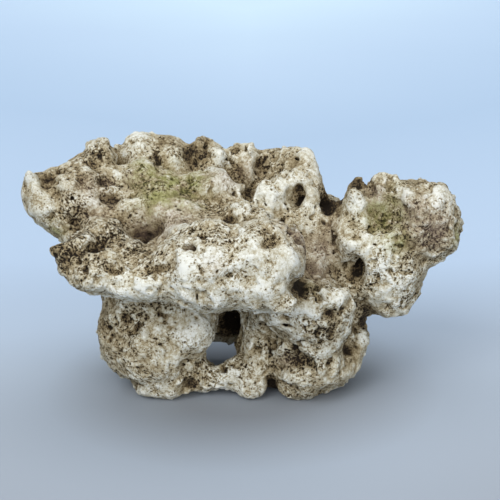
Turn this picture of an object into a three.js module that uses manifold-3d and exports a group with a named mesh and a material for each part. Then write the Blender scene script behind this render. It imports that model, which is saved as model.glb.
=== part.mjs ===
// Reef rock: one weathered piece of old coral limestone, of the kind stacked in reef aquaria.
// A thick shelf overhangs two legs joined by a low bar, with a tunnel between them; a knobbly
// rim runs along the back of the sloping top, and a lobe stands out at the right.
//
// Millimetres, +Z up. X runs along the rock's length and -Y is its front. The origin is on the
// surface the rock rests on, under the middle of its outline.

import * as THREE from "three";
import { mergeVertices } from "three/addons/utils/BufferGeometryUtils.js";
import Module from "manifold-3d";

const CELL = 9; // spacing of the grid that the surface is traced on
const FILLET = 6; // how softly one lump runs into the next
const HOLLOW_EDGE = 4; // how softly a hollow's rim is rounded
const REACH = { x: 185, y: 125, low: -20, high: 200 }; // the box that the rock is traced in
const WEATHERING = [
  // shallow waves all over the stone: how deep, and how far apart
  { depth: 1.4, length: 41 },
  { depth: 0.8, length: 24 },
];
const STONE = { color: 0xb9ad98, roughness: 0.95, metalness: 0 };

// Every row below is an ellipsoid: its centre x, y, z, its half-lengths, and, where it leans,
// its roll in degrees about Y, which lifts its +X end.

// The shelf at the front, from its left tip to its right end.
const SHELF = [
  [16, -70, 117, 29, 36, 30],
  [-23, -70, 115, 36, 38, 30],
  [-62, -66, 108, 34, 34, 15],
  [-94, -62, 111, 28, 30, 16],
  [-112, -58, 119, 18, 24, 12],
  [-121, -56, 126, 8, 10, 8],
];

// The left wing, with the finger at its tip.
const WING = [
  [-151, 0, 146, 9, 14, 22, 14],
  [-125, 0, 131, 17, 24, 19],
  [-136, 4, 144, 18, 26, 20],
  [-118, 10, 148, 24, 30, 22],
  [-98, -30, 114, 26, 30, 16],
  [-116, 22, 163, 20, 14, 10, 24],
  [-100, 14, 152, 14, 14, 14],
];

// The ground of the sloping top.
const TOP = [
  [-60, 10, 125, 75, 50, 24],
  [-20, 10, 148, 16, 16, 17],
  [0, 8, 140, 18, 16, 14],
  [-38, -22, 129, 30, 26, 12],
  [3, -22, 132, 19, 18, 14],
  [-85, 12, 154, 11, 12, 13],
];

// The knobs of the rim along the back of the top, left to right.
const RIM = [
  [-22, 46, 144, 75, 16, 18],
  [-109, 45, 168, 11, 12, 18],
  [-80, 50, 175, 10, 9, 12],
  [-80, 44, 160, 18, 16, 16],
  [-58, 50, 167, 17, 14, 16],
  [-27, 50, 173, 8, 8, 11],
  [-29, 50, 163, 13, 12, 14],
  [-19, 40, 163, 11, 12, 13],
  [-4, 50, 168, 7, 8, 10],
  [4, 42, 164, 7, 10, 17],
  [28, 50, 157, 24, 13, 16],
  [42, 36, 168, 12, 11, 8],
  [51, 28, 149, 11, 14, 16],
];

// The wall that stands to the right of the top.
const WALL = [
  [40, 15, 138, 24, 20, 26],
  [21, 3, 146, 8, 10, 11],
  [43, 8, 117, 21, 24, 22],
  [57, 15, 97, 27, 26, 36],
];

// The lobe that stands out at the right.
const LOBE = [
  [106, 5, 95, 31, 36, 38],
  [131, 5, 130, 28, 32, 25],
  [138, 5, 122, 24, 26, 26],
  [107, 8, 147, 12, 14, 15],
  [140, 8, 145, 12, 12, 12],
  [147, 6, 138, 8, 11, 10],
  [88, 20, 146, 8, 10, 14, 15],
  [85, 0, 141, 8, 9, 10],
  [87, 0, 122, 16, 18, 20],
  [85, -15, 113, 14, 12, 9],
  [112, 0, 69, 17, 24, 14],
];

// The knobbly mass under the shelf's right end.
const KNOBS = [
  [52, -35, 70, 26, 26, 24],
  [41, -44, 77, 16, 16, 12],
  [71, -42, 80, 8, 9, 9],
  [60, -44, 85, 10, 10, 8],
  [25, -45, 77, 12, 14, 12],
];

// The legs, the pillar between them and the bar across the tunnel's foot.
const LEGS = [
  [-67, -8, 40, 37, 42, 37],
  [-34, -8, 52, 16, 34, 22],
  [-94, -8, 44, 13, 26, 25],
  [-67, -8, 14, 22, 26, 15],
  [-57, -22, 11, 14, 15, 13],
  [-38, -12, 21, 16, 20, 14],
  [53, -18, 34, 34, 34, 32],
  [42, -27, 14, 18, 17, 17],
  [85, -5, 41, 12, 14, 13],
  [75, 0, 19, 14, 18, 16],
  [12, -14, 40, 11, 18, 36],
  [4, -8, 30, 10, 16, 18],
  [10, -28, 10, 11, 13, 12],
  [-12, -25, 16, 22, 12, 10],
];

// The body behind, and the lintel over the tunnel's far end.
const BODY = [
  [-10, 25, 100, 95, 55, 38],
  [-60, 0, 78, 48, 40, 24],
  [-60, -28, 98, 18, 14, 12],
  [22, -28, 88, 20, 20, 26],
  [-15, 34, 53, 46, 24, 33],
  [-94, 50, 126, 32, 34, 28],
  [-62, 72, 96, 36, 28, 28],
  [-104, 44, 88, 26, 30, 22],
  [-40, 62, 136, 34, 26, 22],
  [-12, 76, 108, 34, 28, 28],
  [26, 68, 84, 34, 30, 26],
  [54, 62, 108, 32, 32, 26],
  [10, 60, 140, 26, 22, 18],
  [95, 35, 100, 42, 32, 34],
  [84, 52, 78, 28, 28, 22],
  [120, 30, 122, 22, 24, 22],
  [76, 12, 60, 19, 24, 22],
  [30, 14, 56, 36, 28, 18],
  [70, -8, 78, 16, 16, 12],
  [72, 18, 114, 15, 16, 26],
];

// The two feet at the back.
const BACK_FEET = [
  [-80, 48, 44, 26, 28, 40],
  [-64, 64, 17, 18, 20, 22],
  [-92, 44, 15, 15, 17, 18],
  [55, 46, 44, 29, 26, 38],
  [44, 62, 17, 18, 18, 21],
  [74, 46, 14, 16, 17, 18],
];

// What is eaten away: the tunnel, the space behind it, and the deep pits.
const HOLLOWS = [
  [-10, -30, 47, 11, 34, 19],
  [-20, 0, 27, 15, 26, 10],
  [-21, 28, 14, 16, 30, 12],
  [-21, 52, 4, 19, 36, 17],
  [-20, 90, 6, 30, 34, 32],
  [39, -6, 145, 7, 14, 9],
  [83, -32, 102, 5, 16, 13],
  [111, -26, 134, 14, 10, 8],
  [39, -58, 94, 7, 14, 6],
  [63, -60, 72, 7, 10, 6],
  [39, -54, 38, 14, 12, 9],
  [76, -34, 36, 6, 10, 8],
  [21, -28, 7, 7, 18, 9],
  [-71, -34, 131, 19, 13, 9],
  [-2, 104, 74, 20, 22, 14],
  [-112, 78, 104, 16, 18, 10],
  [88, 84, 104, 14, 18, 16],
];

const DEGREES = Math.PI / 180;

// How far a point is outside an ellipsoid, less than 0 inside it.
function outside(x, y, z, [cx, cy, cz, rx, ry, rz, roll = 0]) {
  const cos = Math.cos(roll * DEGREES);
  const sin = Math.sin(roll * DEGREES);
  const along = (x - cx) * cos + (z - cz) * sin;
  const up = (z - cz) * cos - (x - cx) * sin;
  const share = Math.hypot(along / rx, (y - cy) / ry, up / rz);
  const slope = Math.hypot(along / rx ** 2, (y - cy) / ry ** 2, up / rz ** 2);
  return slope > 0 ? (share * (share - 1)) / slope : -Math.min(rx, ry, rz);
}

// The smaller of two distances, rounded where they meet.
function blend(a, b, width) {
  const near = Math.max(width - Math.abs(a - b), 0) / width;
  return Math.min(a, b) - (near * near * width) / 4;
}

const LUMPS = [...BODY, ...BACK_FEET, ...LEGS, ...KNOBS, ...LOBE, ...WALL, ...RIM, ...TOP, ...WING, ...SHELF];

// How far the weathering lifts the surface at a point, less than 0 where it has eaten in.
function weathering(x, y, z) {
  let lift = 0;
  for (const { depth, length } of WEATHERING) {
    const [u, v, w] = [x + y / 2, y + z / 2, z - x / 2].map((along) => (2 * Math.PI * along) / length);
    lift += (depth * (Math.sin(u) * Math.cos(v) + Math.sin(v) * Math.cos(w) + Math.sin(w) * Math.cos(u))) / 1.5;
  }
  return lift;
}

// How far a point is outside the rock, less than 0 in the stone.
function rock(x, y, z) {
  let distance = Infinity;
  for (const lump of LUMPS) distance = blend(distance, outside(x, y, z, lump), FILLET);
  for (const hollow of HOLLOWS) distance = -blend(-distance, outside(x, y, z, hollow), HOLLOW_EDGE);
  return distance - weathering(x, y, z);
}

// The grid that the surface is traced on: its first corner, its corners along X, Y and Z, and how
// far apart neighbours along X, Y and Z are in a list of its corners.
const START = [-REACH.x, -REACH.y, REACH.low];
const COUNTS = [2 * REACH.x, 2 * REACH.y, REACH.high - REACH.low].map((side) => Math.ceil(side / CELL) + 1);
const STRIDE = [1, COUNTS[0], COUNTS[0] * COUNTS[1]];

// Calls back with each corner's place in the list and its three counts, leaving a margin of
// corners out at the low and high ends.
function eachCorner(lowMargin, highMargin, callback) {
  for (let k = lowMargin; k < COUNTS[2] - highMargin; k++)
    for (let j = lowMargin; j < COUNTS[1] - highMargin; j++)
      for (let i = lowMargin; i < COUNTS[0] - highMargin; i++)
        callback(i + STRIDE[1] * j + STRIDE[2] * k, [i, j, k]);
}

// The distance at every corner of the grid.
function sampled(distance) {
  const values = new Float32Array(COUNTS[0] * COUNTS[1] * COUNTS[2]);
  eachCorner(0, 0, (corner, counts) => {
    values[corner] = distance(...counts.map((count, axis) => START[axis] + count * CELL));
  });
  return values;
}

// Fills the space between two corners of stone that only meet across a square's diagonal, so that
// the surface never touches itself.
function fillTouching(values) {
  let touching = true;
  while (touching) {
    touching = false;
    eachCorner(0, 1, (corner) => {
      for (let axis = 0; axis < 3; axis++) {
        const u = corner + STRIDE[(axis + 1) % 3];
        const v = corner + STRIDE[(axis + 2) % 3];
        const far = u + v - corner;
        const [a, b, c, d] = [corner, u, v, far].map((n) => values[n] < 0);
        if (a !== d || b !== c || a === b) continue;
        const [one, other] = a ? [u, v] : [corner, far];
        values[values[one] < values[other] ? one : other] = -CELL / 4;
        touching = true;
      }
    });
  }
}

// Fills every space that isn't open to the outside, because the stone has no sealed voids.
function fillSealed(values) {
  const open = new Uint8Array(values.length);
  const reached = [0];
  open[0] = 1;
  while (reached.length) {
    const here = reached.pop();
    for (const step of STRIDE)
      for (const next of [here - step, here + step]) {
        if (open[next] !== 0 || values[next] < 0) continue;
        open[next] = 1;
        reached.push(next);
      }
  }
  for (let n = 0; n < values.length; n++) if (!open[n]) values[n] = Math.min(values[n], -CELL / 2);
}

// Traces the surface where a distance is 0: one vertex in each grid cell that the surface passes
// through, and a pair of triangles across each grid edge that it crosses.
function traced(distance) {
  const values = sampled(distance);
  fillTouching(values);
  fillSealed(values);

  // The twelve edges of a cell, each as its direction and the offset of its low end.
  const edges = [];
  for (let axis = 0; axis < 3; axis++)
    for (const u of [0, 1])
      for (const v of [0, 1]) {
        const from = [0, 0, 0];
        from[(axis + 1) % 3] = u;
        from[(axis + 2) % 3] = v;
        edges.push({ axis, from });
      }

  const positions = [];
  const vertexOf = new Map();
  eachCorner(0, 1, (cell, counts) => {
    const sum = [0, 0, 0];
    let crossings = 0;
    for (const { axis, from } of edges) {
      const end = cell + from[0] * STRIDE[0] + from[1] * STRIDE[1] + from[2] * STRIDE[2];
      const low = values[end];
      const high = values[end + STRIDE[axis]];
      if (low < 0 === high < 0) continue;
      for (let n = 0; n < 3; n++) sum[n] += from[n];
      sum[axis] += low / (low - high);
      crossings++;
    }
    if (!crossings) return;
    vertexOf.set(cell, positions.length / 3);
    for (let n = 0; n < 3; n++) positions.push(START[n] + (counts[n] + sum[n] / crossings) * CELL);
  });

  const point = (n) => new THREE.Vector3().fromArray(positions, 3 * n);
  const indices = [];
  eachCorner(1, 1, (corner) => {
    for (let axis = 0; axis < 3; axis++) {
      const inside = values[corner] < 0;
      if (inside === values[corner + STRIDE[axis]] < 0) continue;
      const u = STRIDE[(axis + 1) % 3];
      const v = STRIDE[(axis + 2) % 3];
      const ring = [corner, corner - u, corner - u - v, corner - v].map((cell) => vertexOf.get(cell));
      const [a, b, c, d] = inside ? ring : ring.reverse();
      if (point(a).distanceTo(point(c)) < point(b).distanceTo(point(d))) indices.push(a, b, c, a, c, d);
      else indices.push(a, b, d, b, c, d);
    }
  });
  const geometry = new THREE.BufferGeometry();
  geometry.setAttribute("position", new THREE.Float32BufferAttribute(positions, 3));
  geometry.setIndex(indices);
  return geometry;
}

const wasm = await Module();
wasm.setup();

function solidOf(geometry) {
  const bare = geometry.clone();
  bare.deleteAttribute("normal");
  bare.deleteAttribute("uv");
  const merged = mergeVertices(bare);
  return new wasm.Manifold(
    new wasm.Mesh({
      numProp: 3,
      vertProperties: merged.attributes.position.array,
      triVerts: new Uint32Array(merged.index.array),
    }),
  );
}

function geometryOf(solid) {
  const { vertProperties, triVerts } = solid.getMesh();
  const geometry = new THREE.BufferGeometry();
  geometry.setAttribute("position", new THREE.BufferAttribute(vertProperties, 3));
  geometry.setIndex(new THREE.BufferAttribute(triVerts, 1));
  geometry.computeVertexNormals();
  return geometry;
}

// The feet are worn flat where the rock stands on them.
const ground = new THREE.BoxGeometry(2 * REACH.x, 2 * REACH.y, -REACH.low);
ground.translate(0, 0, REACH.low / 2);
const worn = solidOf(traced(rock)).subtract(solidOf(ground));

const geometry = geometryOf(worn);
geometry.computeBoundingBox();
const middle = geometry.boundingBox.getCenter(new THREE.Vector3());
geometry.translate(-middle.x, -middle.y, 0);

const rockMesh = new THREE.Mesh(geometry, new THREE.MeshStandardMaterial(STONE));
rockMesh.name = "reef_rock";

const reefRock = new THREE.Group();
reefRock.add(rockMesh);

export default reefRock;
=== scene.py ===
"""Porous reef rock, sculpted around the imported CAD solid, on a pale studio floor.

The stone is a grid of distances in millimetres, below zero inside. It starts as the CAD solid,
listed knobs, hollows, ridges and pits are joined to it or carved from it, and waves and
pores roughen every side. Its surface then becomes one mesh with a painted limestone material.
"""

import math
from collections import namedtuple

import bpy
import numpy as np
import openvdb as vdb
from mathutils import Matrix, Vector
from mathutils.bvhtree import BVHTree


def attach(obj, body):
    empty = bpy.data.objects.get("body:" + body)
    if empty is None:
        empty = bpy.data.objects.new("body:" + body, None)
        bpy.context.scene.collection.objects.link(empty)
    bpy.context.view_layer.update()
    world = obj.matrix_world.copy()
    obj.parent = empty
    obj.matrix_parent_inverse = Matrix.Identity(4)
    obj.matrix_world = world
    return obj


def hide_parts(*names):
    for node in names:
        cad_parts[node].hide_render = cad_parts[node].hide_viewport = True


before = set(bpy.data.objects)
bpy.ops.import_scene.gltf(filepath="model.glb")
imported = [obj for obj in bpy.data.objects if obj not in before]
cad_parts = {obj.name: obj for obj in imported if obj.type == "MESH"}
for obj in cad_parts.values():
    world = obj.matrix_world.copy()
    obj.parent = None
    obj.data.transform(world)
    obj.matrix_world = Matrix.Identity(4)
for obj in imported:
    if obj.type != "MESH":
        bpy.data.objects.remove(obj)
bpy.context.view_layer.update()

MM = 0.001

# --- the photograph's camera, in millimetres --------------------------
FRAME_SIDE = 500                      # pixels
SENSOR = 36.0
LENS = 95.0
FOCAL_PIXELS = FRAME_SIDE * LENS / SENSOR
ELEVATION = math.radians(17.0)
DISTANCE = 976.0
AIM = Vector((5.3, 2.3, 106.0))
RIGHT = Vector((1.0, 0.0, 0.0))
UP = Vector((0.0, math.sin(ELEVATION), math.cos(ELEVATION)))
FORWARD = Vector((0.0, math.cos(ELEVATION), -math.sin(ELEVATION)))
EYE = AIM - FORWARD * DISTANCE

# --- the sculpting grid -----------------------------------------------
VOXEL = 1.0
BAND = 22                             # voxels of true distance each side of the surface
MARGIN = 8                            # spare voxels around the stone
FACET_BLUR = 2.6                      # rounds the CAD solid's facets
SHARD_BLUR = 1.4                      # melts thin shards between hollows
FOOT_HEIGHT = 6.0                     # below this the stone is let down onto the floor
FOOT_GROWTH = 1.2
WANDER = [(1.3, 9.0), (0.6, 4.5)]     # how far placed shapes' outlines stray, and how often
MOUND_SPREAD = 1.25                   # a mound's foot is this much wider than it looks
TRIANGLES = 196000
DENT_SEAM = 2.5                       # width of a placed shape's rounded seam
CAVE_SEAM = 3.0
PIT_SEAM = 0.6
GROOVE_SEAM = 1.0
HORN_SEAM = 5.0
PORE_SEAM = 0.5
SEED = 20

# --- listed features: where a pixel shows them, and their size in millimetres
# Pits slant and grooves are shallower than their depth says: see Sight.place.
Lump = namedtuple("Lump", "px py wide tall proud turn", defaults=(0,))
Dent = namedtuple("Dent", "px py wide tall deep turn", defaults=(0,))
Cave = namedtuple("Cave", "px py wide tall deep")
Pit = namedtuple("Pit", "px py across deep")
Ridge = namedtuple("Ridge", "wide proud path")
Groove = namedtuple("Groove", "wide deep path")
Horn = namedtuple("Horn", "base_wide tip_wide sunk path")
Stain = namedtuple("Stain", "px py reach strength")

LUMPS = [
    # left wing
    Lump(101, 236, 36, 14, 10.5), Lump(84, 242, 17, 12, 8), Lump(139, 207, 28, 12, 6),
    Lump(86, 170, 6, 9, 4), Lump(112, 191, 18, 7, 5), Lump(91, 202, 13, 12, 6.5), Lump(94, 224, 14, 9, 6.5),
    Lump(111, 229, 12, 11, 6.5), Lump(70, 208, 14, 10, 5),
    # knobs along the back rim
    Lump(124, 154, 5, 6, 4), Lump(174, 160, 17, 26, 5), Lump(202, 153, 15, 26, 5),
    Lump(220, 156, 18, 14, 6.5), Lump(235, 149, 6, 7, 4), Lump(213, 188, 28, 16, 6.5),
    Lump(238, 209, 20, 9, 6.5), Lump(186, 207, 26, 10, 5), Lump(160, 190, 60, 36, 15),
    # column and wall
    Lump(250, 163, 15, 32, 6.5), Lump(263, 183, 11, 6, 5), Lump(268, 199, 16, 20, 5),
    Lump(308, 154, 8, 7, 4), Lump(264, 216, 22, 8, 5), Lump(318, 269, 20, 22, 6.5),
    Lump(346, 234, 18, 24, 5),
    # right lobe
    Lump(406, 196, 8, 13, 3), Lump(427, 184, 8, 6, 2.5), Lump(438, 198, 15, 19, 4.5),
    Lump(363, 221, 10, 6, 2.5), Lump(394, 239, 16, 11, 4), Lump(352, 244, 22, 12, 3),
    Lump(398, 300, 22, 12, 4),
    # shelf
    Lump(133, 246, 11, 15, 6.5), Lump(118, 291, 15, 9, 2.5), Lump(128, 300, 9, 5, 2.5),
    Lump(187, 298, 16, 6, 2.5), Lump(217, 306, 14, 7, 2.5), Lump(267, 290, 17, 16, 4),
    Lump(246, 240, 13, 10, 2.5), Lump(187, 263, 15, 14, 2), Lump(182, 280, 9, 13, 2),
    Lump(262, 250, 22, 20, 2.5),
    # knobs under the shelf's right end
    Lump(309, 287, 9, 11, 5), Lump(325, 291, 8, 9, 5), Lump(339, 297, 13, 12, 3.5),
    Lump(308, 310, 22, 15, 6.5), Lump(280, 304, 15, 11, 4),
    # legs
    Lump(195, 331, 31, 31, 7), Lump(256, 318, 16, 12, 5), Lump(280, 348, 14, 12, 5),
    Lump(363, 338, 12, 14, 4), Lump(175, 359, 11, 19, 2.5), Lump(293, 379, 18, 12, 4),
    Lump(327, 356, 7, 7, 2.5),
]
DENTS = [
    # left wing
    Dent(47, 181, 13, 19, 6, -20), Dent(54, 197, 9, 18, 4, -25), Dent(84, 180, 6, 14, 3),
    Dent(105, 183, 13, 8, 4), Dent(110, 198, 20, 10, 4.2), Dent(76, 225, 10, 13, 4.2),
    Dent(89, 161, 9, 4, 5, 40), Dent(150, 231, 34, 11, 5.3),
    # knobs along the back rim
    Dent(120, 164, 8, 10, 3.9), Dent(185, 151, 6, 4, 3), Dent(154, 187, 7, 3, 3), Dent(228, 176, 15, 11, 5),
    Dent(230, 221, 13, 7, 5),
    # column and wall
    Dent(248, 188, 10, 15, 12, 20), Dent(263, 166, 11, 22, 4.5), Dent(295, 196, 13, 20, 5.5, 12),
    Dent(300, 201, 7, 11, 16, 20), Dent(298, 189, 4, 7, 6), Dent(294, 196, 5, 9, 6, -15),
    Dent(294, 163, 14, 9, 3), Dent(331, 205, 12, 17, 11), Dent(281, 221, 7, 9, 4), Dent(333, 236, 7, 14, 4),
    Dent(330, 268, 6, 12, 2), Dent(355, 270, 15, 30, 6.5),
    # right lobe
    Dent(372, 197, 8, 7, 3.4), Dent(391, 215, 34, 24, 7), Dent(377, 229, 11, 5, 3),
    Dent(435, 236, 20, 16, 2.5),
    # shelf
    Dent(98, 248, 15, 6, 6, -15), Dent(146, 241, 7, 9, 10), Dent(156, 245, 7, 9, 4),
    Dent(190, 249, 12, 6, 3.2), Dent(234, 232, 5, 5, 4), Dent(270, 243, 12, 17, 5, 30),
    Dent(301, 232, 11, 20, 4.4, -35), Dent(112, 271, 17, 9, 4), Dent(158, 268, 30, 11, 4),
    Dent(240, 280, 52, 12, 2.5), Dent(198, 294, 9, 7, 3.3),
    # hollows and pockets of the right leg
    Dent(330, 312, 14, 12, 5.8), Dent(291, 317, 8, 4, 4), Dent(320, 297, 7, 3, 4),
    Dent(303, 363, 19, 14, 6.5), Dent(295, 348, 5, 7, 7), Dent(348, 353, 9, 9, 4.4),
    Dent(354, 330, 7, 9, 4),
    # left leg
    Dent(134, 329, 11, 4, 5), Dent(251, 314, 7, 6, 3), Dent(143, 374, 5, 4, 6),
]
CAVES = [
    # the deep pockets
    Cave(228, 321, 23, 26, 27), Cave(233, 339, 10, 12, 20), Cave(358, 261, 5, 14, 12),
    Cave(358, 273, 6, 21, 14), Cave(298, 288, 20, 15, 34), Cave(221, 352, 22, 16, 60),
    # air outside the outline
    Cave(72, 147, 20, 17, 40), Cave(135, 126, 20, 8, 40), Cave(153, 134, 4, 7, 40),
    Cave(28, 226, 14, 16, 40), Cave(38, 234, 18, 18, 40), Cave(51, 236, 10, 7, 40),
    Cave(62, 241, 10, 5, 40), Cave(127, 394, 23, 23, 60), Cave(196, 392, 14, 8, 40),
    Cave(384, 329, 16, 12, 60), Cave(396, 322, 14, 14, 60), Cave(368, 180, 7, 16, 70),
    Cave(457, 193, 9, 15, 40), Cave(322, 157, 13, 11, 40), Cave(97, 370, 15, 15, 40),
    Cave(110, 384, 15, 15, 40), Cave(123, 394, 15, 15, 40), Cave(325, 399, 18, 18, 40),
    Cave(339, 395, 18, 18, 40), Cave(353, 388, 18, 18, 40), Cave(364, 378, 14, 16, 40),
    Cave(404, 336, 22, 18, 40), Cave(418, 322, 16, 16, 40), Cave(189, 139, 9, 11, 40),
    Cave(228, 141, 9, 11, 40),
]
PITS = [
    # left wing and rim
    Pit(70, 162, 4, 6), Pit(98, 158, 5, 7), Pit(100, 170, 4.5, 6), Pit(91, 176, 3, 4), Pit(60, 184, 3, 5),
    Pit(63, 182, 3, 5), Pit(87, 195, 2.6, 3), Pit(130, 197, 4, 5), Pit(66, 208, 3, 5), Pit(70, 213, 3, 5),
    Pit(75, 210, 2.6, 4), Pit(68, 217, 3, 5), Pit(74, 217, 3.4, 5), Pit(78, 213, 2.6, 4),
    Pit(134, 212, 3, 4), Pit(120, 148, 3, 4), Pit(141, 164, 4, 5), Pit(130, 163, 3, 4), Pit(153, 186, 4, 5),
    Pit(158, 189, 3, 4), Pit(173, 178, 4, 5), Pit(181, 178, 3.5, 4), Pit(208, 192, 5.5, 8),
    Pit(202, 207, 3.4, 5), Pit(192, 180, 5, 6), Pit(205, 146, 4, 5), Pit(216, 144, 3, 4),
    Pit(215, 168, 3, 4), Pit(191, 151, 4, 5),
    # column and wall
    Pit(245, 153, 2.6, 4), Pit(250, 167, 2.4, 3), Pit(235, 147, 3.4, 4), Pit(284, 180, 3, 4),
    Pit(316, 176, 3, 5), Pit(268, 194, 3, 3), Pit(248, 202, 4, 5), Pit(246, 217, 3, 4), Pit(237, 203, 3, 4),
    Pit(266, 183, 2.6, 3), Pit(275, 232, 3, 4),
    # right lobe
    Pit(379, 261, 3, 3), Pit(378, 279, 3.4, 4), Pit(406, 258, 3, 4), Pit(390, 289, 3, 4),
    Pit(394, 291, 3.4, 4), Pit(386, 296, 3, 4), Pit(376, 270, 3, 4), Pit(396, 276, 3, 4),
    Pit(409, 278, 3, 4), Pit(387, 266, 2.6, 3), Pit(399, 252, 2.6, 3), Pit(430, 187, 3, 4),
    Pit(364, 303, 3.4, 6), Pit(346, 286, 3.4, 8), Pit(350, 280, 3, 7),
    # shelf
    Pit(110, 236, 4, 6), Pit(118, 238, 4, 6), Pit(104, 230, 3, 4), Pit(92, 231, 3, 4), Pit(84, 246, 3, 4),
    Pit(56, 256, 3, 4), Pit(63, 249, 3, 4), Pit(72, 266, 3, 4), Pit(88, 273, 3, 5), Pit(94, 279, 2.6, 5),
    Pit(200, 291, 2.6, 4), Pit(195, 298, 3, 4), Pit(190, 249, 8, 3), Pit(202, 252, 2.6, 3),
    Pit(229, 230, 3, 4), Pit(275, 249, 3, 4), Pit(150, 252, 2.6, 4),
    # legs
    Pit(316, 287, 3.5, 7), Pit(124, 316, 5, 7), Pit(127, 325, 5, 7), Pit(140, 327, 4, 6),
    Pit(150, 322, 3, 5), Pit(174, 327, 3, 5), Pit(131, 333, 3.4, 6), Pit(225, 368, 4.5, 6),
    Pit(291, 375, 3, 4), Pit(308, 384, 3, 4), Pit(195, 363, 3, 4), Pit(320, 369, 3, 4), Pit(299, 345, 3, 6),
    Pit(363, 320, 3.4, 7),
]
RIDGES = [
    # left wing and rim
    Ridge(13, 3.5, [(63, 177), (69, 187), (76, 198)]),
    Ridge(6, 3.5, [(106, 168), (113, 171), (119, 177), (118, 184)]),
    Ridge(12, 6, [(196, 174), (208, 170), (222, 180), (233, 190), (246, 197)]),
    # wall and shelf rims
    Ridge(10, 3.5, [(262, 223), (273, 227), (283, 240), (291, 253), (295, 264)]),
    Ridge(11, 4, [(161, 242), (170, 234), (181, 229), (196, 225), (210, 225), (222, 228)]),
    Ridge(9, 3, [(240, 231), (252, 234), (258, 240)]),
    # white bands on the shelf's face
    Ridge(7, 2.0, [(194, 263), (204, 259), (216, 262), (235, 264), (255, 263), (280, 260)]),
    Ridge(5, 2.0, [(97, 265), (106, 261), (115, 261), (123, 266)]),
    Ridge(6, 2.2, [(123, 265), (131, 275), (140, 284), (151, 286)]),
    Ridge(4.5, 2.6, [(181, 250), (185, 244.5), (194, 245), (200, 249), (194, 254), (186, 254)]),
    # legs
    Ridge(13, 3, [(351, 303), (348, 313), (347, 330), (338, 344), (328, 353)]),
    Ridge(9, 3.5, [(288, 341), (297, 346), (306, 351), (317, 358), (320, 372)]),
    Ridge(7, 2.5, [(325, 282), (335, 282), (343, 288)]),
]
HORNS = [
    Horn(13, 13, 3, [(355, 202), (357, 203)]), Horn(14, 14, 4, [(276, 300), (288, 303)]),
    Horn(19, 21, 44, [(229, 328), (246, 327)]), Horn(19, 21, 44, [(229, 328), (210, 327)]),
    Horn(19, 11, 5, [(42, 209), (36, 193), (31, 180.5)]),
    Horn(13, 6, 6, [(355, 194), (356, 187), (359, 181)]), Horn(24, 19, 10, [(385, 197), (386, 187.5)]),
    Horn(25, 18, 9, [(100, 158), (99, 147.5)]), Horn(22, 19, 9, [(137, 157), (136.5, 146)]),
    Horn(13, 8, 4, [(64, 251), (55, 249)]), Horn(22, 22, 9, [(203, 375), (217, 377), (238, 374)]),
    Horn(12, 12, 16, [(266, 376), (279, 377), (290, 381)]),
]
GROOVES = [
    # left wing and rim
    Groove(2.5, 3, [(127, 142), (138, 141), (150, 142)]),
    Groove(5, 3.5, [(158, 146), (159, 160), (158, 172)]),
    Groove(4, 4, [(192, 150), (193, 160), (195, 169)]),
    Groove(4, 4, [(211, 144), (210, 155), (207, 165)]),
    Groove(4, 5, [(233, 159), (239, 171), (244, 183)]),
    # right lobe
    Groove(2.4, 2, [(372, 222), (380, 229), (392, 231)]),
    Groove(4, 6, [(310, 254), (306, 264)]),
    # shelf
    Groove(5, 5, [(284, 221), (294, 236), (306, 254), (308, 268)]),
    Groove(2.5, 4, [(131, 257), (139, 253)]),
    Groove(2.4, 2.5, [(100, 266), (108, 263), (116, 264), (122, 269)]),
    Groove(2.2, 3, [(86, 266), (86, 274)]),
    Groove(2.2, 3, [(94, 272), (94, 281)]),
    Groove(3, 3, [(191, 275), (201, 278), (212, 281), (230, 284)]),
    # legs
    Groove(4, 7, [(342, 305), (341, 316), (338, 325), (332, 337), (327, 342)]),
    Groove(3, 5, [(312, 340), (321, 333)]),
    Groove(3, 5, [(171, 337), (175, 345), (181, 349), (187, 352)]),
    Groove(2.5, 5, [(128, 332), (139, 332)]),
    Groove(3, 6, [(269, 343), (271, 353)]),
]
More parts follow.
